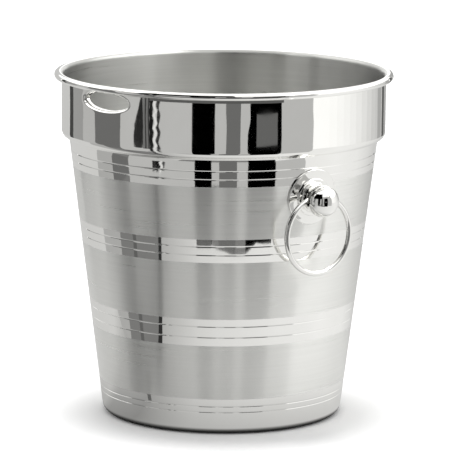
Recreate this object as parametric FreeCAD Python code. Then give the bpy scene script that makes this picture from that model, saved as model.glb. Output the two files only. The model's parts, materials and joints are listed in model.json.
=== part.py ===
import FreeCAD, Part
import math
import os

from FreeCAD import Vector

# Champagne bucket with two hanging ring handles. Millimetres, +Z up.
# The origin is on the floor under the bucket's centre. The handles are on +X and -X.

# Bucket: one spun sheet. Radii are those of the outside.
SHEET = 1.0
HEIGHT = 224.0
FOOT_R = 77.57              # tapered wall, carried on down to the floor
TAPER = 0.1252              # radius gained per millimetre of height
FOOT_BEND = 6.0
PANEL_R = 64.0              # raised panel in the middle of the bottom
PANEL_RISE = 1.5
PANEL_SLOPE = 4.5           # how far the step up to the panel reaches inwards
PANEL_BEND = 6.0
SHOULDER_Z = 181.6          # underside of the step from the wall to the collar
SHOULDER_BEND = 4.4         # where the shoulder meets the collar, outside
SHOULDER_FOLD = 1.4         # where the wall meets the shoulder
COLLAR_R = 105.2
RIM_R = 110.0
CURL = 4.4                  # height of the rolled rim
CURL_GAP = 0.3              # between the roll's edge and the collar
FLARE_BEND = 2.6

# Lines engraved round the wall, as heights above the floor
LINES = (14.9, 18.7, 64.8, 71.9, 119.2, 124.6, 168.1, 173.6)
LINE_R = 0.45
LINE_DEPTH = 0.3

# Oval slot in the collar, with its edge turned inwards
SLOT_ANGLE = -81.6          # degrees round from +X
SLOT_Z = 213.5
SLOT_WIDTH = 39.6
SLOT_HEIGHT = 10.8
SLOT_BEND = 2.2
SLOT_DEPTH = 4.2

# Handles: HANDLE_Z is where the knob's axis meets the wall, and lengths "out" are along that axis.
HANDLE_Z = 155.0
FLANGE_R = 18.0
FLANGE_THICK = 1.2
STEP_R = 12.2               # lower, wider step of the escutcheon
STEP_OUT = 2.2
SEAT_R = 9.8                # upper, narrower step, which the knob sits on
SEAT_OUT = 3.1
STEP_EDGE = 0.6
BALL_R = 10.3
BALL_OUT = 11.0
RING_OUT = 6.7              # cross hole, and the ring's swing axis
RING_R = 24.4               # to the middle of the wire
WIRE_R = 1.8
RING_HOLE_R = 3.4
RING_HOLE_EDGE = 0.5
RING_DROP = 1.3             # top of the wire's centre line above the swing axis

# Fasteners inside the bucket
STUD_R = 3.0
STUD_HOLE_R = 3.2
SEAL_R = 7.5
SEAL_THICK = 1.5
WASHER_R = 7.0
WASHER_THICK = 1.0
NUT_FLATS = 10.0
NUT_HEX_THICK = 5.0
NUT_CHAMFER_ANGLE = 30.0    # degrees off the nut's end face
NUT_DOME_R = 4.4
NUT_BORE = 6.0
THREAD_PLAY = 0.05
NUT_END_PLAY = 0.5          # between the stud's end and the bottom of the nut's bore

# Lengths that only have to be long enough for a cut or a trim
CUT_DEPTH = 20.0            # through the collar, the rim or a wall, to each side
BELOW_WALL = -3.0           # start of the escutcheon's solids, inside the wall
WALL_REACH = 40.0           # height of the wall's cone above and below a handle

TAPER_ANGLE = math.atan(TAPER)
NUT_FACE = -SHEET - SEAL_THICK - WASHER_THICK
UP = Vector(0, 0, 1)
ORIGIN = Vector(0, 0, 0)


def wall_radius(height):
    return FOOT_R + TAPER * height


def bend_at(before, corner, after, radius):
    """Where a bend starts, its middle and its end, between two straight runs."""
    arriving = (corner - before).normalize()
    leaving = (after - corner).normalize()
    half_turn = arriving.getAngle(leaving) / 2
    run = radius * math.tan(half_turn)
    inside = (leaving - arriving).normalize()
    middle = corner + inside * (radius / math.cos(half_turn) - radius)
    return corner - arriving * run, middle, corner + leaving * run


def turns_left(before, corner, after):
    arriving = corner - before
    leaving = after - corner
    return arriving.x * leaving.z - arriving.z * leaving.x > 0


def moved_sideways(points, side):
    """The same path, moved to its left by side, or to its right if side is negative."""
    moved = []
    for index, point in enumerate(points):
        neighbours = points[max(index - 1, 0):index + 2]
        normals = []
        for start, end in zip(neighbours, neighbours[1:]):
            along = (end - start).normalize()
            normals.append(Vector(-along.z, 0, along.x))
        total = normals[0] + normals[-1]
        moved.append(point + total * (side / (1 + normals[0].dot(normals[-1]))))
    return moved


def bent_path(points, bends, side):
    """Edges of a path of straight runs and bends, moved sideways with its bends kept concentric."""
    corners = moved_sideways(points, side)
    edges = []
    here = corners[0]
    for index, bend in enumerate(bends, start=1):
        before, corner, after = corners[index - 1:index + 2]
        radius = bend - side if turns_left(before, corner, after) else bend + side
        start, middle, end = bend_at(before, corner, after, radius)
        if here.distanceToPoint(start) > 1e-4:
            edges.append(Part.LineSegment(here, start).toShape())
        edges.append(Part.Arc(start, middle, end).toShape())
        here = end
    edges.append(Part.LineSegment(here, corners[-1]).toShape())
    return edges, corners[0], corners[-1]


def spun_sheet():
    """The whole vessel as one sheet: panel, foot, wall, shoulder, collar and rolled rim."""
    half = SHEET / 2
    lean = half / math.cos(TAPER_ANGLE)
    shoulder = SHOULDER_Z + half
    rim_top = HEIGHT - half
    rim_bottom = HEIGHT - CURL + half
    roll = (rim_top - rim_bottom) / 2
    points = [
        Vector(0, 0, PANEL_RISE + half),
        Vector(PANEL_R - PANEL_SLOPE, 0, PANEL_RISE + half),
        Vector(PANEL_R, 0, half),
        Vector(wall_radius(half) - lean, 0, half),
        Vector(wall_radius(shoulder) - lean, 0, shoulder),
        Vector(COLLAR_R - half, 0, shoulder),
        Vector(COLLAR_R - half, 0, rim_top),
        Vector(RIM_R - half, 0, rim_top),
        Vector(RIM_R - half, 0, rim_bottom),
        Vector(COLLAR_R + CURL_GAP, 0, rim_bottom),
    ]
    foot_to_wall = [PANEL_BEND, PANEL_BEND, FOOT_BEND - half]
    wall_to_rim = [SHOULDER_FOLD, SHOULDER_BEND - half, FLARE_BEND - half, roll, roll]
    bends = foot_to_wall + wall_to_rim
    outside, outside_start, outside_end = bent_path(points, bends, -half)
    inside, inside_start, inside_end = bent_path(points, bends, half)
    closing = [
        Part.LineSegment(outside_end, inside_end).toShape(),
        Part.LineSegment(inside_start, outside_start).toShape(),
    ]
    section = Part.Face(Part.Wire(Part.__sortEdges__(outside + inside + closing)))
    return section.revolve(ORIGIN, UP, 360)


def slot_bar(grow, inner, outer):
    """Oval bar through the collar on +X, larger than the slot by grow all round."""
    centre = Vector(inner, 0, SLOT_Z)
    side = centre + Vector(0, SLOT_WIDTH / 2 + grow, 0)
    top = centre + Vector(0, 0, SLOT_HEIGHT / 2 + grow)
    oval = Part.Ellipse(side, top, centre).toShape()
    return Part.Face(Part.Wire([oval])).extrude(Vector(outer - inner, 0, 0))


def slot_edges(shell, grow, radius):
    """Edges round the slot that lie at one radius of the collar."""
    found = []
    for edge in shell.Edges:
        points = edge.discretize(7)
        at_radius = all(abs(math.hypot(p.x, p.y) - radius) < 0.05 for p in points)
        near_slot = all(p.x > 0 and abs(p.y) < SLOT_WIDTH / 2 + grow + 0.1 for p in points)
        level = all(abs(p.z - SLOT_Z) < SLOT_HEIGHT / 2 + grow + 0.1 for p in points)
        if at_radius and near_slot and level:
            found.append(edge)
    return found


def add_slot(shell):
    """Cut the slot on +X, with its edge bent inwards at the sheet's own thickness."""
    inside_r = COLLAR_R - SHEET
    band = Part.makeCylinder(inside_r + SHEET / 2, HEIGHT)
    band = band.cut(Part.makeCylinder(COLLAR_R - SLOT_DEPTH, HEIGHT))
    lip = slot_bar(SHEET, inside_r - CUT_DEPTH, inside_r + CUT_DEPTH).common(band)
    shell = shell.fuse(lip).removeSplitter()
    shell = shell.cut(slot_bar(0, inside_r - CUT_DEPTH, inside_r + CUT_DEPTH))
    shell = shell.makeFillet(SLOT_BEND, slot_edges(shell, 0, COLLAR_R))
    return shell.makeFillet(SLOT_BEND - SHEET, slot_edges(shell, SHEET, inside_r))


def at_handle(shape):
    """Move a shape built round +Z onto the knob's axis, which leaves the wall on +X at right angles."""
    shape.rotate(ORIGIN, Vector(0, 1, 0), 90 + math.degrees(TAPER_ANGLE))
    shape.translate(Vector(wall_radius(HANDLE_Z), 0, HANDLE_Z))
    return shape


def out_from_wall(distance):
    """Point on the knob's axis, in the bucket's frame."""
    return at_handle(Part.Vertex(Vector(0, 0, distance))).Point


def disc(radius, start, thick, bore=0):
    """Round plate on the knob's axis, from start outwards, with an optional bore."""
    plate = Part.makeCylinder(radius, thick, Vector(0, 0, start))
    if bore:
        plate = plate.cut(Part.makeCylinder(bore, thick, Vector(0, 0, start)))
    return at_handle(plate)


def wall_cone(grow):
    """Everything inside the tapered wall near the handle, grown at right angles to the wall."""
    extra = grow / math.cos(TAPER_ANGLE)
    low = wall_radius(HANDLE_Z - WALL_REACH) + extra
    high = wall_radius(HANDLE_Z + WALL_REACH) + extra
    return Part.makeCone(low, high, 2 * WALL_REACH, Vector(0, 0, HANDLE_Z - WALL_REACH))


def make_escutcheon():
    """Flange curved to the wall, with two round steps that the knob sits on."""
    flange = disc(FLANGE_R, BELOW_WALL, SEAT_OUT - BELOW_WALL).common(wall_cone(FLANGE_THICK))
    step = Part.makeCylinder(STEP_R, STEP_OUT - BELOW_WALL, Vector(0, 0, BELOW_WALL))
    seat = Part.makeCylinder(SEAT_R, SEAT_OUT - BELOW_WALL, Vector(0, 0, BELOW_WALL))
    steps = [solid.makeFillet(STEP_EDGE, outer_edges(solid)) for solid in (step, seat)]
    plate = flange.fuse([at_handle(solid) for solid in steps]).removeSplitter()
    return plate.cut([wall_cone(0), disc(STUD_HOLE_R, BELOW_WALL, SEAT_OUT - BELOW_WALL)])


def outer_edges(cylinder):
    """The round edge at the top of a cylinder that stands on the knob's axis."""
    top = cylinder.BoundBox.ZMax
    return [edge for edge in cylinder.Edges if edge.BoundBox.ZMin > top - 0.01]


def make_knob():
    """Ball with a flat seat, its stud, and the ring's cross hole."""
    seat_r = math.sqrt(BALL_R ** 2 - (BALL_OUT - SEAT_OUT) ** 2)
    seat = Vector(seat_r, 0, SEAT_OUT)
    ball = Part.Arc(seat, Vector(BALL_R, 0, BALL_OUT), Vector(0, 0, BALL_OUT + BALL_R)).toShape()
    back = Part.LineSegment(Vector(0, 0, SEAT_OUT), seat).toShape()
    axis = Part.LineSegment(Vector(0, 0, BALL_OUT + BALL_R), Vector(0, 0, SEAT_OUT)).toShape()
    knob = Part.Face(Part.Wire([back, ball, axis])).revolve(ORIGIN, UP, 360)
    across = Vector(0, 1, 0)
    start = Vector(0, -2 * BALL_R, RING_OUT)
    knob = knob.cut(Part.makeCylinder(RING_HOLE_R, 4 * BALL_R, start, across))
    knob = knob.makeFillet(RING_HOLE_EDGE, [edge for edge in knob.Edges if is_hole_mouth(edge)])
    stud_end = NUT_FACE - NUT_BORE + NUT_END_PLAY
    stud = Part.makeCylinder(STUD_R, SEAT_OUT - stud_end, Vector(0, 0, stud_end))
    return at_handle(knob.fuse(stud).removeSplitter())


def is_hole_mouth(edge):
    """Whether an edge runs round one end of the ring's hole, where it breaks out of the ball."""
    if edge.Length < RING_HOLE_R:
        return False
    points = edge.discretize(9)
    on_hole = all(abs(math.hypot(p.x, p.z - RING_OUT) - RING_HOLE_R) < 0.01 for p in points)
    one_side = all(p.y > 0 for p in points) or all(p.y < 0 for p in points)
    return on_hole and one_side


def make_ring():
    """Round wire ring, hanging plumb from the swing axis."""
    axis = out_from_wall(RING_OUT)
    centre = axis - UP * (RING_R - RING_DROP)
    return Part.makeTorus(RING_R, WIRE_R, centre, Vector(1, 0, 0))


def make_seal():
    """Rubber washer, pressed to the curve of the wall's inside."""
    return disc(SEAL_R, -SHEET - SEAL_THICK, SEAL_THICK + SHEET, STUD_HOLE_R).common(wall_cone(-SHEET))


def make_washer():
    return disc(WASHER_R, NUT_FACE, WASHER_THICK, STUD_HOLE_R)


def make_cap_nut():
    """Hexagonal nut with chamfered corners and a closed, domed end."""
    end = NUT_FACE - NUT_HEX_THICK
    corner_r = NUT_FLATS / 2 / math.cos(math.pi / 6)
    corners = []
    for turn in range(7):
        angle = turn * math.pi / 3
        corners.append(Vector(corner_r * math.cos(angle), corner_r * math.sin(angle), end))
    hexagon = Part.Face(Part.makePolygon(corners)).extrude(UP * NUT_HEX_THICK)
    rise = NUT_HEX_THICK / math.tan(math.radians(NUT_CHAMFER_ANGLE))
    chamfer = Part.makeCone(NUT_FLATS / 2, NUT_FLATS / 2 + rise, NUT_HEX_THICK, Vector(0, 0, end))
    dome = Part.makeSphere(NUT_DOME_R, Vector(0, 0, end))
    dome = dome.cut(Part.makeCylinder(2 * NUT_DOME_R, NUT_HEX_THICK, Vector(0, 0, end)))
    nut = hexagon.common(chamfer).fuse(dome).removeSplitter()
    bore = Part.makeCylinder(STUD_R + THREAD_PLAY, NUT_BORE, Vector(0, 0, NUT_FACE - NUT_BORE))
    return at_handle(nut.cut(bore))


def make_shell(stud_hole):
    shell = spun_sheet()
    for height in LINES:
        line = Part.makeTorus(wall_radius(height) + LINE_R - LINE_DEPTH, LINE_R, UP * height)
        shell = shell.cut(line)
    shell.rotate(ORIGIN, UP, 45)
    shell = add_slot(shell)
    shell.rotate(ORIGIN, UP, SLOT_ANGLE)
    return shell.cut([stud_hole, other_side(stud_hole)])


def other_side(shape):
    turned_round = shape.copy()
    turned_round.rotate(ORIGIN, UP, 180)
    return turned_round


handle = {
    "escutcheon": make_escutcheon(),
    "knob": make_knob(),
    "ring": make_ring(),
    "seal": make_seal(),
    "washer": make_washer(),
    "cap_nut": make_cap_nut(),
}
nodes = {"bucket_shell": make_shell(disc(STUD_HOLE_R, -3 * SHEET, 6 * SHEET))}
for piece, shape in handle.items():
    nodes["right_" + piece] = shape
    nodes["left_" + piece] = other_side(shape)

os.makedirs("parts", exist_ok=True)
for node, shape in nodes.items():
    shape.exportStep("parts/" + node + ".step")
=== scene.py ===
import json
import math

import bmesh
import bpy
from mathutils import Matrix, Vector, noise


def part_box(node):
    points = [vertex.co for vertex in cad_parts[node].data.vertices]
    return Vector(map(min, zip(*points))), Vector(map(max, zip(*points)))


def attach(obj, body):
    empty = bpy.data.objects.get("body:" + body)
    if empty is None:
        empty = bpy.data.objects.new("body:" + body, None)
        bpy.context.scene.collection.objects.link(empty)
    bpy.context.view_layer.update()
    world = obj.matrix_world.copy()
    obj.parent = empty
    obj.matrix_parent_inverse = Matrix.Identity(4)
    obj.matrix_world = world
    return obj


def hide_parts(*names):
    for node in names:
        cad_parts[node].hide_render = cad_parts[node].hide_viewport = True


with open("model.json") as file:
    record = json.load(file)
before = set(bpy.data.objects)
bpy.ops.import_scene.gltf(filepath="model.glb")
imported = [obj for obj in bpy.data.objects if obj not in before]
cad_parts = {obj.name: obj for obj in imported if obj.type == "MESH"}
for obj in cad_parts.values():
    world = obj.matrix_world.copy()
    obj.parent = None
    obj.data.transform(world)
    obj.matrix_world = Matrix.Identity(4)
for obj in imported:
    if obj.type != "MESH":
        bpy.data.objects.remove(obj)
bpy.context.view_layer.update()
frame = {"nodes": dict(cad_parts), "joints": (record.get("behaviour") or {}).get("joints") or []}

MM = 0.001

# Driving sizes of the bucket, in metres. What the frame gives is read from the frame.
SHEET = 1.0 * MM
TAPER = 0.1252
FOOT_R = 77.57 * MM
FOOT_BEND = 6.0 * MM
PANEL_R = 64.0 * MM
PANEL_RISE = 1.5 * MM
PANEL_SLOPE = 4.5 * MM
PANEL_BEND = 6.0 * MM
SHOULDER_Z = 181.6 * MM
SHOULDER_BEND = 4.4 * MM
SHOULDER_FOLD = 1.4 * MM
COLLAR_R = 105.2 * MM
BEAD_R = 2.2 * MM
CURL_GAP = 0.3 * MM
FLARE_BEND = 2.6 * MM

# Polished bands, as heights of their edges, and the lines engraved in them
BANDS = [(0.0, 23.5 * MM), (59.1 * MM, 76.7 * MM), (114.1 * MM, 129.2 * MM), (163.4 * MM, SHOULDER_Z)]
LINES = [z * MM for z in (14.9, 18.7, 64.8, 71.9, 119.2, 124.6, 168.1, 173.6)]
LINE_HALF = 0.45 * MM
LINE_DEPTH = 0.16 * MM
# Lowest height of the collar's inside satin, whose darker colour is painted shade
PAINTED_SHADE_INSIDE_LOW = 187.5 * MM

# Slot in the collar
SLOT_TURN = math.radians(-81.6)
SLOT_Z = 213.5 * MM
SLOT_HALF_WIDTH = 19.8 * MM
SLOT_HALF_HEIGHT = 5.4 * MM
SLOT_BEND = 2.2 * MM
SLOT_DEPTH = 4.2 * MM
SLOT_PATCH_LOW = 199.0 * MM
SLOT_PATCH_HALF = 31.0 * MM
SLOT_COLUMNS = 48
SLOT_ROWS = 16
OTHER_COLUMNS = 280

# How finely the meshes are divided
BOTTOM_ROW = 6.0 * MM
WALL_ROW = 2.6 * MM
COLLAR_ROW = 1.3 * MM
INSIDE_WALL_ROWS = 30
PLATE_COLUMNS = 144
HOLE_COLUMNS = 64
RING_STEPS = 288
WIRE_STEPS = 40
SHARP_ANGLE = math.radians(35)
SHARP_HOLE_ANGLE = math.radians(40)

# Handles
ESCUTCHEON_EDGE = 0.4 * MM
FLANGE_THICK = 1.2 * MM
STEP_R = 12.2 * MM
STEP_OUT = 2.2 * MM
SEAT_R = 9.8 * MM
SEAT_OUT = 3.1 * MM
STEP_EDGE = 0.6 * MM
STUD_HOLE_R = 3.2 * MM
BALL_OUT = 11.0 * MM
RING_HOLE_R = 3.4 * MM
RING_HOLE_EDGE = 0.5 * MM
STUD_R = 3.0 * MM
STUD_LENGTH = 12.1 * MM

shell_low, shell_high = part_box("bucket_shell")
HEIGHT = shell_high.z
RIM_R = shell_high.x
BEAD_MIDDLE = Vector((RIM_R - BEAD_R, HEIGHT - BEAD_R))
FLARE_MIDDLE_Z = HEIGHT - FLARE_BEND
CREVICE_Z = FLARE_MIDDLE_Z - 0.1 * MM
LEAN = math.atan(TAPER)
FLANGE_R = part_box("right_escutcheon")[1].y

# The camera: how far round it stands from -Y, and the frame's axes as it sees them
VIEW_TURN = math.radians(54.4)
TO_CAMERA = Vector((math.sin(VIEW_TURN), -math.cos(VIEW_TURN), 0))
TO_RIGHT = Vector((math.cos(VIEW_TURN), math.sin(VIEW_TURN), 0))
CAMERA_AWAY = 2.470
CAMERA_ASIDE = 0.0021
CAMERA_HEIGHT = 0.559
CAMERA_DOWN = math.radians(10.04)
CAMERA_ROLL = math.radians(0.45)
CAMERA_LENS = 305.9

# Light for the floor, and how bright the plain backdrop is
SKY_LIGHT = 0.79
OVERHEAD_LIGHT = 2.1
OVERHEAD_SPREAD = math.radians(16)
BACKDROP_SHADE = 1.22


def wall_radius(height):
    return FOOT_R + TAPER * height


# ---- outlines ----

def bend_points(before, corner, after, radius, steps):
    """Points round a bend between two straight runs, in a plane."""
    arriving = (corner - before).normalized()
    leaving = (after - corner).normalized()
    turn = arriving.angle_signed(leaving)
    if abs(turn) < 1e-4:
        return [corner]
    run = radius * math.tan(abs(turn) / 2)
    start = corner - arriving * run
    side = -1 if turn > 0 else 1
    middle = start + Vector((-arriving.y, arriving.x)) * radius * side
    points = []
    for step in range(steps + 1):
        part = Matrix.Rotation(-turn * step / steps, 2)
        points.append(middle + part @ (start - middle))
    return points


def bent_outline(corners, radii, steps):
    """Outline through the corners, with every corner but the first and last rounded."""
    points = [corners[0]]
    for index, radius in enumerate(radii, start=1):
        points += bend_points(corners[index - 1], corners[index], corners[index + 1], radius, steps)
    return points + [corners[-1]]


def moved_sideways(corners, side):
    """The same outline moved to its left by side."""
    moved = []
    for index, corner in enumerate(corners):
        near = corners[max(index - 1, 0):index + 2]
        normals = []
        for start, end in zip(near, near[1:]):
            along = (end - start).normalized()
            normals.append(Vector((-along.y, along.x)))
        total = normals[0] + normals[-1]
        moved.append(corner + total * (side / (1 + normals[0].dot(normals[-1]))))
    return moved


def arc_points(middle, radius, first, last, steps):
    """Points of an arc from one angle to another, both in degrees."""
    points = []
    for step in range(steps + 1):
        angle = math.radians(first + (last - first) * step / steps)
        points.append(middle + Vector((math.cos(angle), math.sin(angle))) * radius)
    return points


def even_rows(low, high, spacing):
    count = max(1, round((high - low) / spacing))
    return [low + (high - low) * step / count for step in range(count + 1)]


def wall_rows(low, high):
    """Heights of the wall's rows: close together at each line, and one on each edge of a band."""
    rows = set(even_rows(low, high, WALL_ROW))
    for line in LINES:
        rows = {z for z in rows if abs(z - line) > 1.7 * LINE_HALF}
        rows |= {line + LINE_HALF * step / 4 for step in (-6, -4, -3, -2, -1, 0, 1, 2, 3, 4, 6)}
    for edges in BANDS:
        for edge in edges:
            if low < edge < high:
                rows = {z for z in rows if abs(z - edge) > 0.5 * MM or abs(z - edge) < 1e-6}
                rows.add(edge)
    return sorted(rows)


def line_depth(height):
    """How deep the nearest engraved line is at a height."""
    nearest = min(abs(height - line) for line in LINES)
    if nearest >= LINE_HALF:
        return 0.0
    return LINE_DEPTH * (0.5 + 0.5 * math.cos(math.pi * nearest / LINE_HALF))


def middle_corners():
    """Corners of the sheet's middle line, from the centre of the bottom up to the rim's height."""
    half = SHEET / 2
    lean = half / math.cos(LEAN)
    shoulder = SHOULDER_Z + half
    return [
        Vector((0, PANEL_RISE + half)),
        Vector((PANEL_R - PANEL_SLOPE, PANEL_RISE + half)),
        Vector((PANEL_R, half)),
        Vector((wall_radius(half) - lean, half)),
        Vector((wall_radius(shoulder) - lean, shoulder)),
        Vector((COLLAR_R - half, shoulder)),
        Vector((COLLAR_R - half, HEIGHT)),
    ]


def beside_slot_points(radius, first, last):
    """Rows of the collar's outline beside the slot, from one height to another."""
    return [Vector((radius, first + (last - first) * step / SLOT_ROWS)) for step in range(SLOT_ROWS + 1)]


def outside_outline():
    """Outside of the sheet, as radius and height, from the centre of the bottom to the top of the bead."""
    half = SHEET / 2
    corners = moved_sideways(middle_corners(), -half)
    radii = [PANEL_BEND - half, PANEL_BEND + half, FOOT_BEND, SHOULDER_FOLD - half, SHOULDER_BEND]
    points = bent_outline(corners[:-1] + [Vector((COLLAR_R, SLOT_PATCH_LOW))], radii, 8)
    foot = max(index for index, point in enumerate(points) if point.y < FOOT_BEND)
    fold = foot + 1
    rows = wall_rows(points[foot].y, points[fold].y)[1:-1]
    wall = [Vector((wall_radius(z) - line_depth(z), z)) for z in rows]
    bottom = [Vector((r, PANEL_RISE)) for r in even_rows(0, points[1].x, BOTTOM_ROW)[1:-1]]
    collar = [Vector((COLLAR_R, z)) for z in even_rows(points[-2].y, SLOT_PATCH_LOW, COLLAR_ROW)[1:-1]]
    below = points[:1] + bottom + points[1:fold] + wall + points[fold:-1] + collar
    beside_slot = beside_slot_points(COLLAR_R, SLOT_PATCH_LOW, CREVICE_Z)
    curl_end = COLLAR_R + CURL_GAP
    curl_low = BEAD_MIDDLE.y - BEAD_R
    bead = [Vector((curl_end, CREVICE_Z)), Vector((curl_end, curl_low + CURL_GAP))]
    bead.append(Vector((curl_end + CURL_GAP, curl_low)))
    bead += arc_points(BEAD_MIDDLE, BEAD_R, -90, 90, 24)
    return below, beside_slot, bead


def inside_outline():
    """Inside of the sheet, from the top of the bead down to the centre of the bottom."""
    half = SHEET / 2
    corners = moved_sideways(middle_corners(), half)
    bends = [PANEL_BEND + half, PANEL_BEND - half, FOOT_BEND - SHEET]
    bends += [SHOULDER_FOLD + half, SHOULDER_BEND - SHEET]
    points = bent_outline(corners[:-1] + [Vector((COLLAR_R - SHEET, SLOT_PATCH_LOW))], bends, 6)
    foot = max(index for index, point in enumerate(points) if point.y < FOOT_BEND)
    steps = range(1, INSIDE_WALL_ROWS)
    wall = [points[foot].lerp(points[foot + 1], step / INSIDE_WALL_ROWS) for step in steps]
    bottom = [Vector((r, points[0].y)) for r in even_rows(0, points[1].x, BOTTOM_ROW)[1:-1]]
    below = points[:1] + bottom + points[1:foot + 1] + wall + points[foot + 1:-1]
    flare_middle = Vector((COLLAR_R - SHEET + FLARE_BEND, FLARE_MIDDLE_Z))
    flare = arc_points(flare_middle, FLARE_BEND, 90, 180, 10)[:-1]
    beside_slot = beside_slot_points(COLLAR_R - SHEET, FLARE_MIDDLE_Z, SLOT_PATCH_LOW)
    return flare, beside_slot, below[::-1]


# ---- mesh building ----

def new_piece(name, mesh_builder, materials):
    """Object from a filled bmesh, shaded smooth except at sharp edges."""
    mesh = bpy.data.meshes.new(name)
    mesh_builder.to_mesh(mesh)
    mesh_builder.free()
    for material in materials:
        mesh.materials.append(material)
    mesh.polygons.foreach_set("use_smooth", [True] * len(mesh.polygons))
    mesh.set_sharp_from_angle(angle=SHARP_ANGLE)
    piece = bpy.data.objects.new(name, mesh)
    bpy.context.scene.collection.objects.link(piece)
    return piece


def join_rows(builder, low, high, skip=(), closed=True):
    """Faces between two rows of vertices. A row may be a single vertex, at a pole."""
    count = max(len(low), len(high))
    for index in range(count if closed else count - 1):
        if index in skip:
            continue
        after = (index + 1) % count
        corners = [low[index % len(low)], low[after % len(low)]]
        corners += [high[after % len(high)], high[index % len(high)]]
        builder.faces.new(list(dict.fromkeys(corners)))


def spun_row(builder, point, angles):
    """One row of vertices at a radius and height, or one vertex on the axis."""
    if point.x < 1e-7:
        return [builder.verts.new((0, 0, point.y))]
    return [builder.verts.new((point.x * math.cos(a), point.x * math.sin(a), point.y)) for a in angles]


# ---- bucket shell ----

def shell_angles():
    """Angles of the columns, the first ones across the slot's part of the collar."""
    half = math.asin(SLOT_PATCH_HALF / COLLAR_R)
    angles = [SLOT_TURN - half + 2 * half * step / SLOT_COLUMNS for step in range(SLOT_COLUMNS)]
    rest = 2 * math.pi - 2 * half
    return angles + [SLOT_TURN + half + rest * step / OTHER_COLUMNS for step in range(OTHER_COLUMNS)]


def slot_border(rows):
    """The vertices round the gap left for the slot, as one loop."""
    last = SLOT_COLUMNS
    along_first = rows[0][:last + 1]
    up_side = [row[last] for row in rows[1:]]
    along_last = rows[-1][last - 1::-1][:last]
    down_side = [row[0] for row in rows[-2:0:-1]]
    return along_first + up_side + along_last + down_side


def in_slot_frame(point):
    """A point turned so that the slot faces +X."""
    return Matrix.Rotation(-SLOT_TURN, 3, "Z") @ point


def slot_section(across, up):
    """Where the slot's edge lies in one direction from its centre, and its section there.

    The section runs from the outside of the collar round the turned-in lip to the inside, as
    distances outwards from the slot's edge and along its axis.
    """
    edge = Vector((SLOT_HALF_WIDTH * across, SLOT_Z + SLOT_HALF_HEIGHT * up))
    outward = Vector((SLOT_HALF_HEIGHT * across, SLOT_HALF_WIDTH * up)).normalized()
    bend = SLOT_BEND
    if outward.y > 0:
        bend = min(bend, (CREVICE_Z - 0.3 * MM - edge.y) / outward.y)

    def on_collar(radius, beyond):
        return math.sqrt(radius ** 2 - (edge.x + outward.x * beyond) ** 2)

    inside_r = COLLAR_R - SHEET
    far = 3 * SLOT_BEND
    corners = [
        Vector((far, on_collar(COLLAR_R, far))),
        Vector((0, on_collar(COLLAR_R, 0))),
        Vector((0, on_collar(COLLAR_R - SLOT_DEPTH, 0))),
        Vector((SHEET, on_collar(COLLAR_R - SLOT_DEPTH, SHEET))),
        Vector((SHEET, on_collar(inside_r, SHEET))),
        Vector((far, on_collar(inside_r, far))),
    ]
    lip_edge = 0.3 * MM
    section = bent_outline(corners, [bend, lip_edge, lip_edge, max(0.15 * MM, bend - SHEET)], 8)[1:-1]
    return edge, outward, section


def add_slot(builder, outer_border, inner_border):
    """The slot: collar, bend, lip and inside again, as loops from the outer border to the inner one."""
    spread = []
    for vertex in outer_border:
        place = in_slot_frame(vertex.co)
        room = CREVICE_Z - SLOT_Z if place.z > SLOT_Z else SLOT_Z - SLOT_PATCH_LOW
        turn = math.atan2((place.z - SLOT_Z) / room, place.y / SLOT_PATCH_HALF)
        spread.append(slot_section(math.cos(turn), math.sin(turn)))
    unturn = Matrix.Rotation(SLOT_TURN, 3, "Z")

    def place_at(item, sample):
        edge, outward, section = item
        beyond, along = section[sample]
        spot = edge + outward * beyond
        return Vector((along, spot.x, spot.y))

    def collar_loop(border, sample, radius, part):
        loop = []
        for vertex, item in zip(border, spread):
            mixed = in_slot_frame(vertex.co).lerp(place_at(item, sample), part)
            mixed.x = math.sqrt(radius ** 2 - mixed.y ** 2)
            loop.append(builder.verts.new(unturn @ mixed))
        return loop

    steps = 7
    samples = len(spread[0][2])
    loops = [outer_border]
    loops += [collar_loop(outer_border, 0, COLLAR_R, (step / steps) ** 0.8) for step in range(1, steps)]
    for sample in range(samples):
        loops.append([builder.verts.new(unturn @ place_at(item, sample)) for item in spread])
    inside_r = COLLAR_R - SHEET
    loops += [collar_loop(inner_border, samples - 1, inside_r, ((steps - step) / steps) ** 0.8)
              for step in range(1, steps)]
    loops.append(inner_border)
    for before, after in zip(loops, loops[1:]):
        join_rows(builder, before, after)


def dent(place):
    """The slight unevenness that spinning and polishing leave in the sheet, as a distance outwards."""
    fade = min(1.0, max(0.0, (place.z - 8 * MM) / (20 * MM)))
    small = noise.noise(place / (9 * MM))
    large = noise.noise(place / (38 * MM) + Vector((3.1, 5.7, 1.3)))
    return fade * (0.016 * MM * small + 0.11 * MM * large)


def finish_at(place):
    """Which finish: 0 polished, 1 satin outside, 2 satin inside the collar with painted shade, 3 satin inside
    below it.
    """
    radius = math.hypot(place.x, place.y)
    if place.z > PAINTED_SHADE_INSIDE_LOW:
        on_collar = abs(radius - (COLLAR_R - SHEET)) < 0.06 * MM and place.z < FLARE_MIDDLE_Z
        on_flare = FLARE_MIDDLE_Z <= place.z < HEIGHT - 0.15 * MM and radius < BEAD_MIDDLE.x - 0.5 * MM
        return 2 if on_collar or on_flare else 0
    outside = radius > wall_radius(place.z) - SHEET / 2
    in_band = any(low < place.z < high for low, high in BANDS)
    if outside:
        return 1 if not in_band and place.z < SHOULDER_Z else 0
    return 3 if place.z > SHEET / 2 and radius < wall_radius(place.z) - SHEET / 2 else 0


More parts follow.
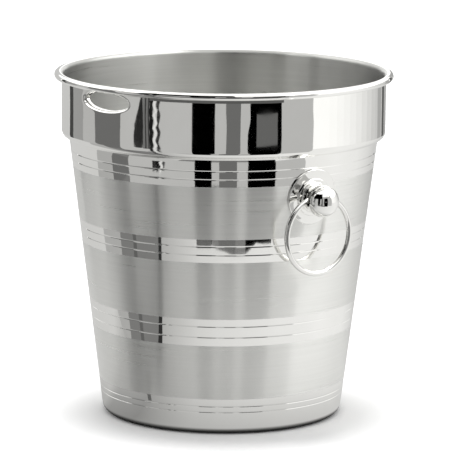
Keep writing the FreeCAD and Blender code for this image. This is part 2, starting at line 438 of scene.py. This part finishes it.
def make_shell(finishes):
    builder = bmesh.new()
    angles = shell_angles()
    below, beside_slot, bead = outside_outline()
    flare, inside_slot, inside = inside_outline()
    gap = range(SLOT_COLUMNS)
    outline = below + beside_slot + bead + flare + inside_slot + inside
    rows = [spun_row(builder, point, angles) for point in outline]
    outer_first = len(below)
    outer_rows = rows[outer_first:outer_first + len(beside_slot)]
    inner_first = outer_first + len(beside_slot) + len(bead) + len(flare)
    inner_rows = rows[inner_first:inner_first + len(inside_slot)]
    for index in range(len(rows) - 1):
        in_outer = outer_first <= index < outer_first + len(beside_slot) - 1
        in_inner = inner_first <= index < inner_first + len(inside_slot) - 1
        join_rows(builder, rows[index], rows[index + 1], gap if in_outer or in_inner else ())
    inner_border = slot_border(inner_rows[::-1])
    add_slot(builder, slot_border(outer_rows), inner_border)
    builder.faces.ensure_lookup_table()
    for face in builder.faces:
        face.material_index = finish_at(face.calc_center_median())
    for vertex in builder.verts:
        outward = Vector((vertex.co.x, vertex.co.y, 0))
        if outward.length > 1e-6:
            vertex.co += outward.normalized() * dent(vertex.co)
    bmesh.ops.recalc_face_normals(builder, faces=builder.faces)
    return new_piece("spun_bucket", builder, finishes)


# ---- handles ----

class Handle:
    """Where one handle is, from its CAD nodes. Local x is round the wall, y up it and z out of it."""

    def __init__(self, side):
        low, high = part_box(side + "_knob")
        self.side = side
        self.sign = 1 if side == "right" else -1
        self.ball_r = high.y
        ball_x = high.x - self.ball_r if self.sign > 0 else low.x + self.ball_r
        self.ball = Vector((ball_x, 0, high.z - self.ball_r))
        self.out = Vector((self.sign * math.cos(LEAN), 0, -math.sin(LEAN)))
        self.up = Vector((self.sign * math.sin(LEAN), 0, math.cos(LEAN)))
        self.across = self.up.cross(self.out)
        self.seat = self.ball - self.out * BALL_OUT
        ring_low, ring_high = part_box(side + "_ring")
        self.wire_r = (ring_high.x - ring_low.x) / 2
        self.ring_r = (ring_high.y - ring_low.y) / 2 - self.wire_r
        self.ring = (ring_low + ring_high) / 2
        joint = next(j for j in frame["joints"] if j["child"] == side + "_ring")
        self.axis = Vector(joint["pos_m"])

    def place(self, x, y, z):
        return self.seat + self.across * x + self.up * y + self.out * z

    def wall_height(self, x, y):
        """How far out of the tangent plane the tapered wall lies at a point of it."""
        z = 0.0
        for _ in range(4):
            spot = self.place(x, y, z)
            z -= (math.hypot(spot.x, spot.y) - wall_radius(spot.z)) * math.cos(LEAN)
        return z


def escutcheon_section():
    """Radius and height out of each point of the plate's flange, which follows the wall's curve."""
    flange = bent_outline([
        Vector((STEP_R, FLANGE_THICK)),
        Vector((FLANGE_R, FLANGE_THICK)),
        Vector((FLANGE_R, 0)),
    ], [ESCUTCHEON_EDGE], 6)
    dish = 0.12 * MM
    spots = []
    for step in range(1, 9):
        radius = STEP_R + (FLANGE_R - ESCUTCHEON_EDGE - STEP_R) * step / 9
        part = (radius - STEP_R) / (FLANGE_R - STEP_R)
        spots.append(Vector((radius, FLANGE_THICK - dish * math.sin(math.pi * part))))
    return spots + flange[1:]


def step_edge_points(radius, out):
    """Rounded edge of one of the plate's raised steps."""
    return bend_points(Vector((0, out)), Vector((radius, out)), Vector((radius, 0)), STEP_EDGE, 8)


def make_escutcheon(handle, mirror):
    builder = bmesh.new()
    turns = [2 * math.pi * step / PLATE_COLUMNS for step in range(PLATE_COLUMNS)]
    rows = []

    def curved_row(radius, height):
        row = []
        for turn in turns:
            x = radius * math.cos(turn)
            y = radius * math.sin(turn)
            row.append(builder.verts.new(handle.place(x, y, height + handle.wall_height(x, y))))
        return row

    def flat_row(radius, height):
        spots = [(radius * math.cos(turn), radius * math.sin(turn)) for turn in turns]
        return [builder.verts.new(handle.place(x, y, height)) for x, y in spots]

    rows.append(curved_row(STUD_HOLE_R, 0.02 * MM))
    rows.append(flat_row(STUD_HOLE_R, SEAT_OUT))
    rows += [flat_row(p.x, p.y) for p in step_edge_points(SEAT_R, SEAT_OUT)]
    rows.append(flat_row(SEAT_R, STEP_OUT + 0.05 * MM))
    rows.append(flat_row(SEAT_R + 0.05 * MM, STEP_OUT))
    rows += [flat_row(p.x, p.y) for p in step_edge_points(STEP_R, STEP_OUT)]
    rows.append(curved_row(STEP_R, FLANGE_THICK + 0.05 * MM))
    rows += [curved_row(p.x, p.y) for p in escutcheon_section()]
    rows[-1] = curved_row(FLANGE_R, 0.02 * MM)
    rows.append(curved_row(FLANGE_R - 0.3 * MM, 0.02 * MM))
    for before, after in zip(rows, rows[1:] + rows[:1]):
        join_rows(builder, before, after)
    bmesh.ops.recalc_face_normals(builder, faces=builder.faces)
    piece = new_piece(handle.side + "_escutcheon_plate", builder, [mirror])
    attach(piece, "bucket")
    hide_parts(handle.side + "_escutcheon")
    return piece


def make_knob(handle, mirror):
    """Ball with its flat seat and stud, and a cross hole with a rounded mouth for the ring."""
    builder = bmesh.new()
    seat_r = math.sqrt(handle.ball_r ** 2 - (BALL_OUT - SEAT_OUT) ** 2)
    low_angle = math.degrees(math.atan2(SEAT_OUT - BALL_OUT, seat_r))
    outline = [Vector((0, SEAT_OUT - STUD_LENGTH)), Vector((STUD_R - 0.4 * MM, SEAT_OUT - STUD_LENGTH))]
    outline += [Vector((STUD_R, SEAT_OUT - STUD_LENGTH + 0.4 * MM)), Vector((STUD_R, SEAT_OUT))]
    outline += arc_points(Vector((0, BALL_OUT)), handle.ball_r, low_angle, 90, 72)
    rows = []
    for point in outline:
        if point.x < 1e-7:
            rows.append([builder.verts.new(handle.place(0, 0, point.y))])
            continue
        row = []
        for step in range(PLATE_COLUMNS):
            turn = 2 * math.pi * step / PLATE_COLUMNS
            spot = handle.place(point.x * math.cos(turn), point.x * math.sin(turn), point.y)
            row.append(builder.verts.new(spot))
        rows.append(row)
    for before, after in zip(rows, rows[1:]):
        join_rows(builder, before, after)
    bmesh.ops.recalc_face_normals(builder, faces=builder.faces)
    piece = new_piece(handle.side + "_ball_knob", builder, [mirror])
    drill_ring_hole(piece, handle)
    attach(piece, "bucket")
    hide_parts(handle.side + "_knob")
    return piece


def drill_ring_hole(piece, handle):
    """Cut the ring's hole through the ball with a cutter that flares at both mouths."""
    builder = bmesh.new()
    offset = (handle.axis - handle.ball).length
    mouth = math.sqrt(handle.ball_r ** 2 - offset ** 2)
    reach = handle.ball_r * 1.3
    flare = 1.3 * MM
    outline = []
    for side in (-1, 1):
        steps = range(9) if side > 0 else range(8, -1, -1)
        bell = []
        for step in steps:
            part = step / 8
            grow = RING_HOLE_EDGE * 1.6 * part ** 2
            bell.append(Vector((RING_HOLE_R + grow, side * (mouth - flare * 1.1 + flare * part))))
        far = Vector((RING_HOLE_R + RING_HOLE_EDGE * 6, side * reach))
        outline += [far] + bell if side < 0 else bell + [far]
    up = Vector((0, 0, 1))
    out = Vector((1, 0, 0))
    rows = []
    for point in outline:
        row = []
        for step in range(HOLE_COLUMNS):
            turn = 2 * math.pi * step / HOLE_COLUMNS
            radial = (out * math.cos(turn) + up * math.sin(turn)) * point.x
            row.append(builder.verts.new(handle.axis + radial + Vector((0, point.y, 0))))
        rows.append(row)
    for before, after in zip(rows, rows[1:]):
        join_rows(builder, before, after)
    builder.faces.new(rows[0])
    builder.faces.new(rows[-1])
    bmesh.ops.recalc_face_normals(builder, faces=builder.faces)
    cutter = new_piece("cutter", builder, [])
    cut = piece.modifiers.new("ring_hole", "BOOLEAN")
    cut.operation = "DIFFERENCE"
    cut.solver = "EXACT"
    cut.object = cutter
    bpy.context.view_layer.update()
    shaped = bpy.data.meshes.new_from_object(piece.evaluated_get(bpy.context.evaluated_depsgraph_get()))
    piece.modifiers.clear()
    piece.data = shaped
    shaped.set_sharp_from_angle(angle=SHARP_HOLE_ANGLE)
    bpy.data.objects.remove(cutter)


def make_ring(handle, mirror):
    builder = bmesh.new()
    rows = []
    for step in range(RING_STEPS):
        turn = 2 * math.pi * step / RING_STEPS
        radial = Vector((0, math.sin(turn), math.cos(turn)))
        row = []
        for part in range(WIRE_STEPS):
            angle = 2 * math.pi * part / WIRE_STEPS
            place = handle.ring + radial * (handle.ring_r + handle.wire_r * math.cos(angle))
            place += Vector((1, 0, 0)) * handle.wire_r * math.sin(angle)
            row.append(builder.verts.new(place))
        rows.append(row)
    for before, after in zip(rows, rows[1:] + rows[:1]):
        join_rows(builder, before, after)
    bmesh.ops.recalc_face_normals(builder, faces=builder.faces)
    piece = new_piece(handle.side + "_ring_handle", builder, [mirror])
    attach(piece, handle.side + "_ring")
    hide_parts(handle.side + "_ring")
    return piece


# ---- materials ----

class Finish:
    """A node material, with short ways to add the nodes that the finishes share."""

    def __init__(self, name, colour, metallic, roughness):
        self.material = bpy.data.materials.new(name)
        self.material.use_nodes = True
        self.nodes = self.material.node_tree.nodes
        self.links = self.material.node_tree.links
        self.shader = self.nodes["Principled BSDF"]
        self.shader.inputs["Metallic"].default_value = metallic
        self.shader.inputs["Roughness"].default_value = roughness
        self.shader.inputs["Base Color"].default_value = (*colour, 1)
        self.place = self.nodes.new("ShaderNodeTexCoord").outputs["Object"]

    def noise(self, scale, detail=2.0, roughness=0.5):
        """Noise over the object's own coordinates, with features per metre along each axis."""
        mapping = self.nodes.new("ShaderNodeMapping")
        mapping.inputs["Scale"].default_value = scale
        texture = self.nodes.new("ShaderNodeTexNoise")
        texture.inputs["Scale"].default_value = 1.0
        texture.inputs["Detail"].default_value = detail
        texture.inputs["Roughness"].default_value = roughness
        self.links.new(self.place, mapping.inputs["Vector"])
        self.links.new(mapping.outputs["Vector"], texture.inputs["Vector"])
        return texture.outputs["Fac"]

    def spread(self, value, low, high, first=0.3, last=0.7):
        """A noise value stretched over the range from low to high."""
        stretch = self.nodes.new("ShaderNodeMapRange")
        stretch.inputs["From Min"].default_value = first
        stretch.inputs["From Max"].default_value = last
        stretch.inputs["To Min"].default_value = low
        stretch.inputs["To Max"].default_value = high
        self.links.new(value, stretch.inputs["Value"])
        return stretch.outputs["Result"]

    def tint(self, value, dark, light):
        """Base colour between two colours, by a value from 0 to 1."""
        mix = self.nodes.new("ShaderNodeMix")
        mix.data_type = "RGBA"
        mix.inputs["A"].default_value = (*dark, 1)
        mix.inputs["B"].default_value = (*light, 1)
        self.links.new(value, mix.inputs["Factor"])
        self.links.new(mix.outputs["Result"], self.shader.inputs["Base Color"])

    def rough(self, value):
        self.links.new(value, self.shader.inputs["Roughness"])

    def bump(self, value, depth, strength=1.0, below=None):
        """Bump of a depth in metres, on top of another bump's normal if there is one."""
        node = self.nodes.new("ShaderNodeBump")
        node.inputs["Distance"].default_value = depth
        node.inputs["Strength"].default_value = strength
        self.links.new(value, node.inputs["Height"])
        if below is not None:
            self.links.new(below, node.inputs["Normal"])
        self.links.new(node.outputs["Normal"], self.shader.inputs["Normal"])
        return node.outputs["Normal"]

    def brushed(self, amount):
        """Stretch highlights across brush lines that run round the bucket."""
        self.shader.inputs["Anisotropic"].default_value = amount
        self.shader.inputs["Anisotropic Rotation"].default_value = 0.25
        tangent = self.nodes.new("ShaderNodeTangent")
        tangent.direction_type = "RADIAL"
        tangent.axis = "Z"
        self.links.new(tangent.outputs["Tangent"], self.shader.inputs["Tangent"])


def mirror_silver(name):
    """Polished silver: nearly a mirror, with a faint haze and hairline scratches."""
    finish = Finish(name, (0.93, 0.925, 0.905), 1.0, 0.04)
    haze = finish.noise((45, 45, 45), 4.0, 0.6)
    finish.tint(finish.spread(haze, 0, 1), (0.915, 0.91, 0.89), (0.94, 0.935, 0.92))
    finish.rough(finish.spread(haze, 0.02, 0.055))
    scratches = finish.noise((900, 140, 260), 2.0, 0.7)
    finish.bump(finish.spread(scratches, 0, 1, 0.62, 0.75), 0.000002, 0.25)
    return finish.material


def satin_silver(name, dark, light, roughness, amount):
    """Brushed silver, with brush lines that run round the bucket."""
    finish = Finish(name, light, 1.0, roughness)
    finish.brushed(amount)
    streaks = finish.noise((9, 9, 620), 3.0, 0.65)
    finish.tint(finish.spread(streaks, 0, 1), dark, light)
    finish.rough(finish.spread(streaks, roughness - 0.03, roughness + 0.03))
    brush = finish.noise((14, 14, 3200), 3.0, 0.7)
    below = finish.bump(brush, 0.000008, 0.4)
    cross = finish.noise((30, 30, 9000), 1.0)
    finish.bump(cross, 0.000003, 0.3, below)
    return finish.material


def turned_steel(name):
    """Bright machined steel for the washers and nuts."""
    finish = Finish(name, (0.62, 0.62, 0.61), 1.0, 0.28)
    turning = finish.noise((2600, 120, 120), 3.0)
    finish.tint(finish.spread(turning, 0, 1), (0.52, 0.52, 0.51), (0.68, 0.68, 0.67))
    finish.rough(finish.spread(finish.noise((300, 300, 300), 4.0), 0.2, 0.36))
    finish.bump(turning, 0.00001, 0.4)
    return finish.material


def seal_rubber(name):
    """Matt black rubber with a fine moulded grain."""
    finish = Finish(name, (0.03, 0.03, 0.03), 0.0, 0.7)
    grain = finish.noise((2400, 2400, 2400), 5.0)
    finish.tint(finish.spread(grain, 0, 1), (0.018, 0.018, 0.018), (0.045, 0.045, 0.044))
    finish.rough(finish.spread(grain, 0.6, 0.82))
    finish.bump(grain, 0.00003, 0.6)
    return finish.material


# ---- studio ----

# Table edge, as points to the right of the bucket's axis and towards the camera
TABLE_EDGE = [(-1.6, 0.60), (-0.30, 0.400), (-0.09, 0.3685), (-0.05, 0.3665), (-0.0125, 0.3606), (0.101, 0.343),
              (0.16, 0.345), (0.5, 0.42), (1.6, 0.9)]
# How bright the table looks, by direction in degrees to the right of the camera's: painted light, brighter to
# the right
TABLE_SHADES = [(-170, 0.62), (-95, 0.64), (-82, 0.46), (-52, 0.38), (-34, 0.54), (-17, 0.68), (0, 0.74),
                (40, 0.84), (85, 0.92), (115, 0.86), (150, 0.62)]
RIM_STRIP_R = 0.1215
RIM_STRIP_HEIGHTS = (0.2150, 0.2212)
WALL_TOP = 0.33
RIGHT_WALL_FIRST = 66
RIGHT_WALL_STEP = 7
RIGHT_WALL_SHADES = (1.08, 1.08, 1.06, 1.02, 0.98, 0.93, 0.87, 0.80, 0.72, 0.64)

# Upright cards: name, distance, shade, first and last direction, low and high edge
CARDS = [
    ("left_back", 0.45, 0.58, -178, -143, 0.09, WALL_TOP),
    ("left_post", 0.44, 0.06, -141, -134, 0.09, WALL_TOP),
    ("left_wall", 0.45, 0.33, -134, -118, 0.09, WALL_TOP),
    ("left_window", 0.45, 0.47, -118, -103, 0.07, WALL_TOP),
    ("left_tall_post", 0.43, 0.02, -91, -83, 0.36, 1.5),
    ("leaf_foot", 0.34, 0.03, -56, -49, 0.034, 0.05),
    ("blind", 0.34, 0.17, -58.2, -52.8, 0.125, 0.5),
    ("blind_gap_near", 0.337, 0.04, -56.7, -55.7, 0.125, 0.5),
    ("blind_gap_far", 0.337, 0.05, -54.3, -53.0, 0.125, 0.5),
    ("room", 0.36, 0.5, -77.5, 66, 0.0, 0.43),
    ("under_table", 0.36, 0.21, -80, 66, -0.5, 0.0),
    ("near_stand_base", 0.262, 0.13, -21.5, -9.5, -0.06, 0.029),
    ("body", 0.28, 0.0, -64, 8, 0.28, 0.62),
    ("far_stand_gap", 0.27, 0.13, 23, 38, 0.147, 0.171),
    ("right_edge", 0.5, 0.6, 136, 141, 0.09, WALL_TOP),
    ("right_stripe", 0.5, 0.4, 141, 150, 0.09, WALL_TOP),
    ("right_post", 0.5, 0.12, 152, 160, 0.09, WALL_TOP),
    ("right_back", 0.5, 0.4, 161, 176, 0.09, WALL_TOP),
    ("right_softbox", 0.8, 3.0, 47, 134, 0.5, 1.6),
    ("right_softbox_top", 0.8, 4.5, 47, 134, 1.6, 3.2),
    ("left_softbox_near", 0.8, 1.9, -83, -58, 0.62, 2.2),
    ("left_softbox_far", 0.8, 1.9, -160, -91, 0.62, 2.2),
]

# Level cards on the table: name, height, shade, and spots to the right and ahead
FLAT_CARDS = [
    ("grey_mat", 0.0001, 0.2, [
        (-0.11, 0.10), (-0.353, 0.320), (-0.70, 0.63), (-1.1, 0.013), (-0.435, 0.049), (-0.14, 0.065)]),
    ("mat_edge", 0.0002, 0.03, [
        (-0.11, 0.10), (-0.353, 0.320), (-0.70, 0.63), (-0.685, 0.645), (-0.340, 0.332), (-0.101, 0.107)]),
    ("mat_fold", 0.0002, 0.12, [
        (-0.0858, 0.0748), (-0.3997, 0.1375), (-0.3943, 0.1609), (-0.0846, 0.0796)]),
    ("grey_mat_side", 0.0001, 0.42, [
        (-0.14, 0.065), (-0.435, 0.049), (-1.1, 0.013), (-1.1, -0.3), (-0.435, -0.103), (-0.217, 0.035),
        (-0.14, 0.055)]),
]


def glow(name, shade):
    """Plain light of one shade, for the cards."""
    material = bpy.data.materials.new(name)
    material.use_nodes = True
    nodes = material.node_tree.nodes
    nodes.remove(nodes["Principled BSDF"])
    emission = nodes.new("ShaderNodeEmission")
    emission.inputs["Color"].default_value = (shade, shade, shade * 0.985, 1)
    output = nodes["Material Output"]
    material.node_tree.links.new(emission.outputs["Emission"], output.inputs["Surface"])
    return material


def seen_in_gloss_only(piece):
    piece.visible_camera = False
    piece.visible_diffuse = False
    piece.visible_shadow = False
    piece.visible_transmission = False
    piece.visible_volume_scatter = False


def stage_spot(right, ahead, up):
    """A point given as the camera sees it: to the right of the bucket's axis, towards the camera, and up."""
    return TO_RIGHT * right + TO_CAMERA * ahead + Vector((0, 0, up))


def card_spot(direction, travel):
    """Where light that the collar mirrors to the camera comes from, a distance before it meets the collar."""
    facing = math.radians(direction / 2)
    towards = math.radians(direction)
    right = COLLAR_R * math.sin(facing) + travel * math.sin(towards)
    ahead = COLLAR_R * math.cos(facing) + travel * math.cos(towards)
    return right, ahead


def add_shaped_card(name, travel, shade, rows):
    """Upright card whose two sides move with height: rows of height, first and last direction."""
    builder = bmesh.new()
    made = []
    for height, first, last in rows:
        steps = max(1, round(abs(last - first) / 6)) if len(rows) == 2 else 1
        row = []
        for step in range(steps + 1):
            right, ahead = card_spot(first + (last - first) * step / steps, travel)
            row.append(builder.verts.new(stage_spot(right, ahead, height)))
        made.append(row)
    for low, high in zip(made, made[1:]):
        join_rows(builder, low, high, closed=False)
    card = new_piece("card_" + name, builder, [glow("card_" + name, shade)])
    seen_in_gloss_only(card)


def wavy_rows(low, high, middle, half, sway, period):
    """Rows for a card that sways from side to side with height."""
    rows = []
    for height in even_rows(low, high, period / 6):
        shift = sway * math.sin(2 * math.pi * height / period)
        rows.append((height, middle + shift - half, middle + shift + half))
    return rows


def add_rim_shade_strip(first, last, shade):
    """Narrow dark strip round the front of the rim, that only the rolled rim mirrors: its reflection paints a
    line of shade along the rim.
    """
    builder = bmesh.new()
    rows = [[], []]
    for degrees in even_rows(first, last, 4):
        turn = math.radians(degrees)
        right = RIM_STRIP_R * math.sin(turn)
        ahead = RIM_STRIP_R * math.cos(turn)
        for row, height in zip(rows, RIM_STRIP_HEIGHTS):
            row.append(builder.verts.new(stage_spot(right, ahead, height)))
    join_rows(builder, rows[0], rows[1], closed=False)
    card = new_piece("card_rim_painted_shade", builder, [glow("card_rim_painted_shade", shade)])
    seen_in_gloss_only(card)


def add_flat_card(name, spots, height, shade):
    """Level card through spots given as to the right and ahead."""
    builder = bmesh.new()
    builder.faces.new([builder.verts.new(stage_spot(right, ahead, height)) for right, ahead in spots])
    card = new_piece("card_" + name, builder, [glow("card_" + name, shade)])
    seen_in_gloss_only(card)


def math_node(material, operation, first, second):
    node = material.node_tree.nodes.new("ShaderNodeMath")
    node.operation = operation
    material.node_tree.links.new(first, node.inputs[0])
    material.node_tree.links.new(second, node.inputs[1])
    return node.outputs["Value"]


def along_axis(material, place, axis):
    node = material.node_tree.nodes.new("ShaderNodeVectorMath")
    node.operation = "DOT_PRODUCT"
    node.inputs[1].default_value = axis
    material.node_tree.links.new(place, node.inputs[0])
    return node.outputs["Value"]


def smooth_step(material, value, first, last, low, high):
    node = material.node_tree.nodes.new("ShaderNodeMapRange")
    node.interpolation_type = "SMOOTHSTEP"
    node.inputs["From Min"].default_value = first
    node.inputs["From Max"].default_value = last
    node.inputs["To Min"].default_value = low
    node.inputs["To Max"].default_value = high
    material.node_tree.links.new(value, node.inputs["Value"])
    return node.outputs["Result"]


def add_table_glow():
    """The tabletop as the polished metal sees it: painted light brighter to the right, and painted shade darker
    close to the foot.
    """
    builder = bmesh.new()
    outline = TABLE_EDGE + [(1.6, -1.6), (-1.6, -1.6)]
    builder.faces.new([builder.verts.new(stage_spot(right, ahead, -0.0001)) for right, ahead in outline])
    material = glow("card_table", 0.8)
    nodes = material.node_tree.nodes
    links = material.node_tree.links
    place = nodes.new("ShaderNodeTexCoord").outputs["Object"]
    right = along_axis(material, place, TO_RIGHT)
    ahead = along_axis(material, place, TO_CAMERA)
    part = nodes.new("ShaderNodeMapRange")
    part.inputs["From Min"].default_value = -math.pi
    part.inputs["From Max"].default_value = math.pi
    links.new(math_node(material, "ARCTAN2", right, ahead), part.inputs["Value"])
    ramp = nodes.new("ShaderNodeValToRGB")
    links.new(part.outputs["Result"], ramp.inputs["Fac"])
    while len(ramp.color_ramp.elements) < len(TABLE_SHADES):
        ramp.color_ramp.elements.new(0.5)
    for element, (degrees, shade) in zip(ramp.color_ramp.elements, TABLE_SHADES):
        element.position = 0.5 + degrees / 360
        element.color = (shade, shade, shade * 0.985, 1)
    distance = nodes.new("ShaderNodeVectorMath")
    distance.operation = "LENGTH"
    links.new(place, distance.inputs[0])
    # Painted shade: the glow dims towards the foot, with a narrow painted contact shadow right at it
    near = smooth_step(material, distance.outputs["Value"], 0.07, 0.17, 0.66, 1.0)
    painted_contact_shadow = smooth_step(material, distance.outputs["Value"], 0.0755, 0.0830, 0.02, 1.0)
    emission = next(node for node in nodes if node.type == "EMISSION")
    links.new(ramp.outputs["Color"], emission.inputs["Color"])
    links.new(math_node(material, "MULTIPLY", near, painted_contact_shadow), emission.inputs["Strength"])
    card = new_piece("card_table", builder, [material])
    seen_in_gloss_only(card)


def add_cards():
    """What stands round the table, as the bucket mirrors it, from the left round to the right: glowing cards
    that only gloss sees, as painted reflections.
    """
    add_table_glow()
    for name, travel, shade, first, last, low, high in CARDS:
        add_shaped_card(name, travel, shade, [(low, first, last), (high, first, last)])
    for step, shade in enumerate(RIGHT_WALL_SHADES):
        first = RIGHT_WALL_FIRST + RIGHT_WALL_STEP * step
        last = first + RIGHT_WALL_STEP
        add_shaped_card("right_wall_%d" % step, 0.5, shade, [(0.09, first, last), (WALL_TOP, first, last)])
    for name, travel, shade, rows in SHAPED_CARDS:
        add_shaped_card(name, travel, shade, rows)
    # Dark strip whose reflection paints a line of shade along the rolled rim
    add_rim_shade_strip(-30, 24, 0.1)
    for name, height, shade, spots in FLAT_CARDS:
        add_flat_card(name, spots, height, shade)


# Upright cards with shaped sides: name, distance, shade, and rows of height, first and last direction
SHAPED_CARDS = [
    ("left_curtain", 0.45, 0.15, [
        (0.0, -94, -78), (0.07, -95, -78), (0.10, -103, -77.5), (WALL_TOP, -103, -77.5)]),
    ("leaf", 0.34, 0.02, [
        (0.131, -63.2, -60.4), (0.134, -65.5, -58.2), (0.141, -65.8, -58.2), (0.148, -65.3, -58.2),
        (0.154, -64, -58.2), (0.1615, -62.6, -58.2), (0.168, -61.2, -58.3), (0.173, -60, -58.5)]),
    ("lattice_dark", 0.335, 0.01, wavy_rows(0.034, 0.5, -51.7, 1.4, 0.4, 0.011)),
    ("lattice_light", 0.33, 0.75, wavy_rows(0.034, 0.2, -49.0, 1.0, 0.9, 0.009)),
    ("lattice_edge", 0.335, 0.03, wavy_rows(0.034, 0.5, -46.8, 1.3, 0.8, 0.013)),
    ("near_stand", 0.27, 0.0, [(-0.06, -22, -9), (0.075, -22, -9), (0.10, -22, -6), (0.29, -22, -5)]),
    ("grey_stand", 0.27, 0.15, [(-0.06, -3, 11), (0.075, -3, 11), (0.10, 2, 12), (0.28, 2, 12)]),
    ("far_stand", 0.28, 0.0, [
        (-0.06, 19.5, 41), (0.075, 19.5, 41), (0.10, 17.8, 41), (0.13, 17.3, 41), (0.155, 16.8, 41),
        (0.166, 18.4, 41), (0.29, 20, 41)]),
]


def add_floor():
    builder = bmesh.new()
    half = 4.0
    corners = [(-half, -half), (half, -half), (half, half), (-half, half)]
    builder.faces.new([builder.verts.new((x, y, -0.0002)) for x, y in corners])
    material = bpy.data.materials.new("pale_floor")
    material.use_nodes = True
    shader = material.node_tree.nodes["Principled BSDF"]
    shader.inputs["Base Color"].default_value = (0.97, 0.97, 0.97, 1)
    shader.inputs["Roughness"].default_value = 0.9
    shader.inputs["Specular IOR Level"].default_value = 0.0
    floor = new_piece("floor", builder, [material])
    floor.visible_glossy = False


def add_world():
    """Light all round for the floor, and a white dome that the camera and the polished metal see."""
    world = bpy.data.worlds.new("studio")
    world.use_nodes = True
    background = world.node_tree.nodes["Background"]
    background.inputs["Color"].default_value = (1, 1, 1, 1)
    background.inputs["Strength"].default_value = SKY_LIGHT
    bpy.context.scene.world = world
    bpy.context.scene.view_settings.view_transform = "Standard"
    builder = bmesh.new()
    bmesh.ops.create_uvsphere(builder, u_segments=48, v_segments=24, radius=8.0)
    dome = new_piece("backdrop_dome", builder, [glow("backdrop_dome", BACKDROP_SHADE)])
    dome.visible_diffuse = False
    dome.visible_shadow = False
    light_data = bpy.data.lights.new("overhead", "SUN")
    light_data.angle = OVERHEAD_SPREAD
    light_data.energy = OVERHEAD_LIGHT
    light = bpy.data.objects.new("overhead", light_data)
    towards = TO_CAMERA * -0.05 + TO_RIGHT * -0.02 + Vector((0, 0, 1))
    light.rotation_euler = towards.to_track_quat("Z", "Y").to_euler()
    light.visible_glossy = False
    light.visible_camera = False
    bpy.context.scene.collection.objects.link(light)


def add_camera():
    """Camera at the height, distance and slight tilt that show the bucket a little from above."""
    camera_data = bpy.data.cameras.new("camera")
    camera_data.lens = CAMERA_LENS
    camera_data.sensor_width = 36.0
    camera_data.clip_end = 20.0
    camera = bpy.data.objects.new("camera", camera_data)
    bpy.context.scene.collection.objects.link(camera)
    position = TO_CAMERA * CAMERA_AWAY + TO_RIGHT * CAMERA_ASIDE + Vector((0, 0, CAMERA_HEIGHT))
    facing = Matrix.Rotation(VIEW_TURN, 4, "Z") @ Matrix.Rotation(math.pi / 2 - CAMERA_DOWN, 4, "X")
    camera.matrix_world = Matrix.Translation(position) @ facing @ Matrix.Rotation(CAMERA_ROLL, 4, "Z")
    bpy.context.scene.camera = camera


add_world()
add_floor()
add_cards()
add_camera()

mirror = mirror_silver("polished_silver_finish")
satin = satin_silver("brushed_silver_outside", (0.82, 0.82, 0.80), (0.87, 0.87, 0.85), 0.3, 1.0)
# The collar's inside is the same brushed silver, given a much darker colour as painted shade
painted_shade_inside_satin = satin_silver("brushed_silver_inside_painted_shade", (0.50, 0.50, 0.485), (0.54, 0.54, 0.525), 0.3, 1.0)
steel = turned_steel("turned_steel_finish")
rubber = seal_rubber("seal_rubber_finish")

inside_wall = satin_silver("brushed_silver_inside_wall", (0.76, 0.76, 0.745), (0.82, 0.82, 0.805), 0.22, 0.8)
shell = make_shell([mirror, satin, painted_shade_inside_satin, inside_wall])
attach(shell, "bucket")
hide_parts("bucket_shell")

for side in ("right", "left"):
    handle = Handle(side)
    make_escutcheon(handle, mirror)
    make_knob(handle, mirror)
    make_ring(handle, mirror)
    for node, finish in (("washer", steel), ("cap_nut", steel), ("seal", rubber)):
        fastener = frame["nodes"][side + "_" + node]
        fastener.data.materials.clear()
        fastener.data.materials.append(finish)
